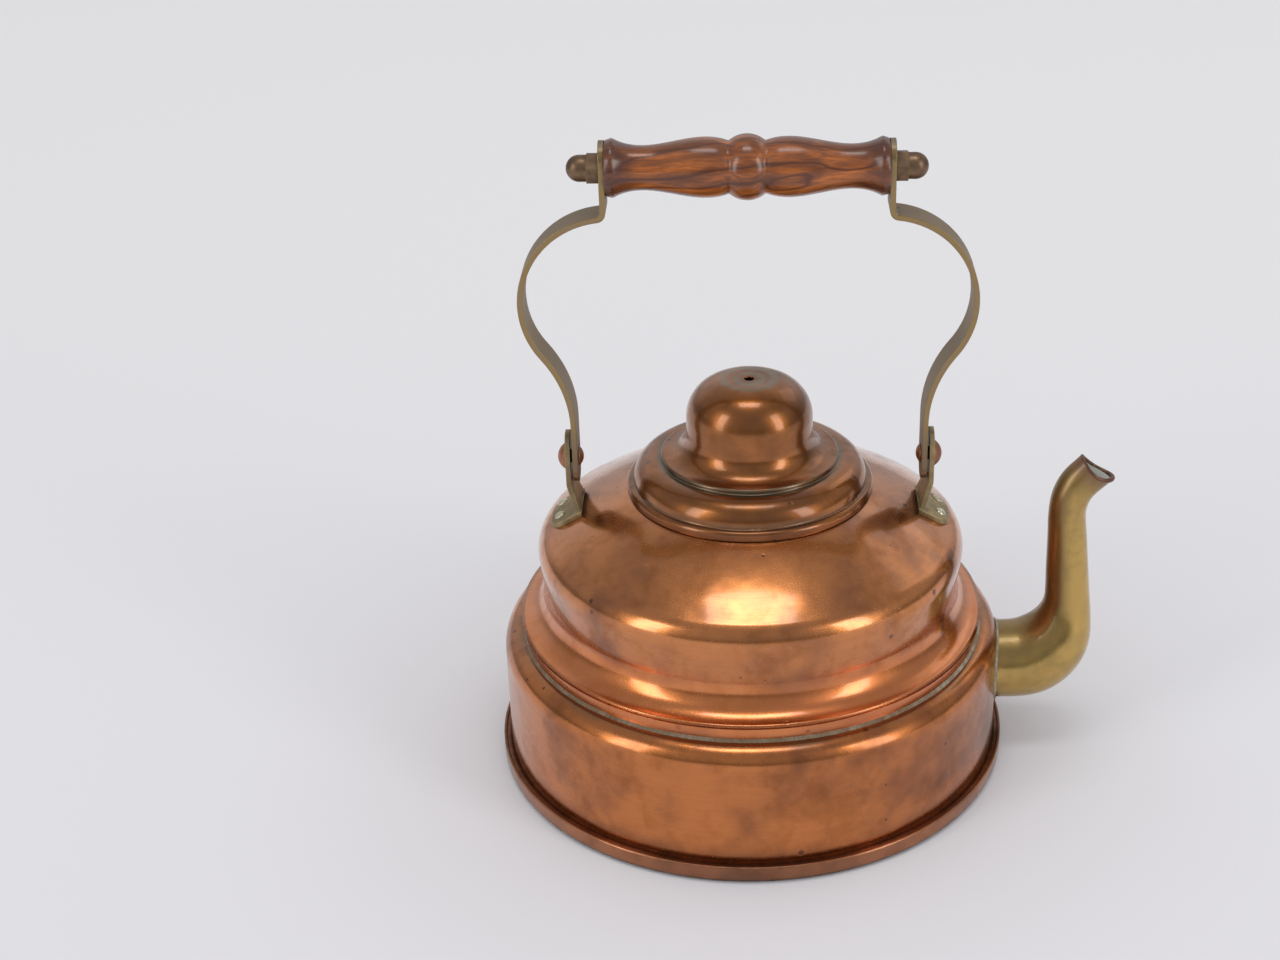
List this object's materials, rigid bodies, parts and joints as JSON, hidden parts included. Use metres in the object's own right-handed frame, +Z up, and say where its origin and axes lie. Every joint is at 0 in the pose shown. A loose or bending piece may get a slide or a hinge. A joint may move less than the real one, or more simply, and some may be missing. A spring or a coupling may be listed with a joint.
{
  "type": "water kettle",
  "caption": "Round copper water kettle with a stepped body, a brass swan-neck spout, a loose bell-shaped lid with a vent hole and a swinging brass bail with a turned wooden grip.",
  "frame": {"origin": "centre of the flat bottom, on the surface that the kettle stands on", "axes": "+Z up, +X along the spout, Y across it; the bail's pivots lie along X"},
  "size_m": [0.2358, 0.1972, 0.2463],
  "materials": {
    "copper": "polished copper with a brown mottled patina",
    "brass": "dull polished brass with pits and tarnish",
    "solder": "dull grey soft solder",
    "rivet": "dull tinned rivet heads",
    "iron": "plain iron rod",
    "wood": "reddish-brown turned hardwood, varnished"
  },
  "bodies": {
    "kettle": {"bottom_plate": "copper", "lower_drum": "copper", "upper_shell": "copper", "seam_solder": "solder", "spout": "brass", "spout_solder": "solder", "left_lug": "brass", "right_lug": "brass", "left_lug_rivets": "rivet", "right_lug_rivets": "rivet", "left_pivot_rivet": "copper", "right_pivot_rivet": "copper"},
    "bail": {"left_strap": "brass", "right_strap": "brass", "grip": "wood", "grip_rod": "iron", "left_cap_nut": "brass", "right_cap_nut": "brass"},
    "lid": {"lid_shell": "copper", "lid_collar": "copper"}
  },
  "joints": [
    {"name": "bail_swing", "type": "hinge", "parent": "kettle", "child": "bail", "pos_m": [0, 0, 0.12297], "axis": [1, 0, 0], "range_deg": [-117, 117]},
    {"name": "lid_lift", "type": "slide", "parent": "kettle", "child": "lid", "axis": [0, 0, 1], "range_m": [0, 0.06]}
  ]
}
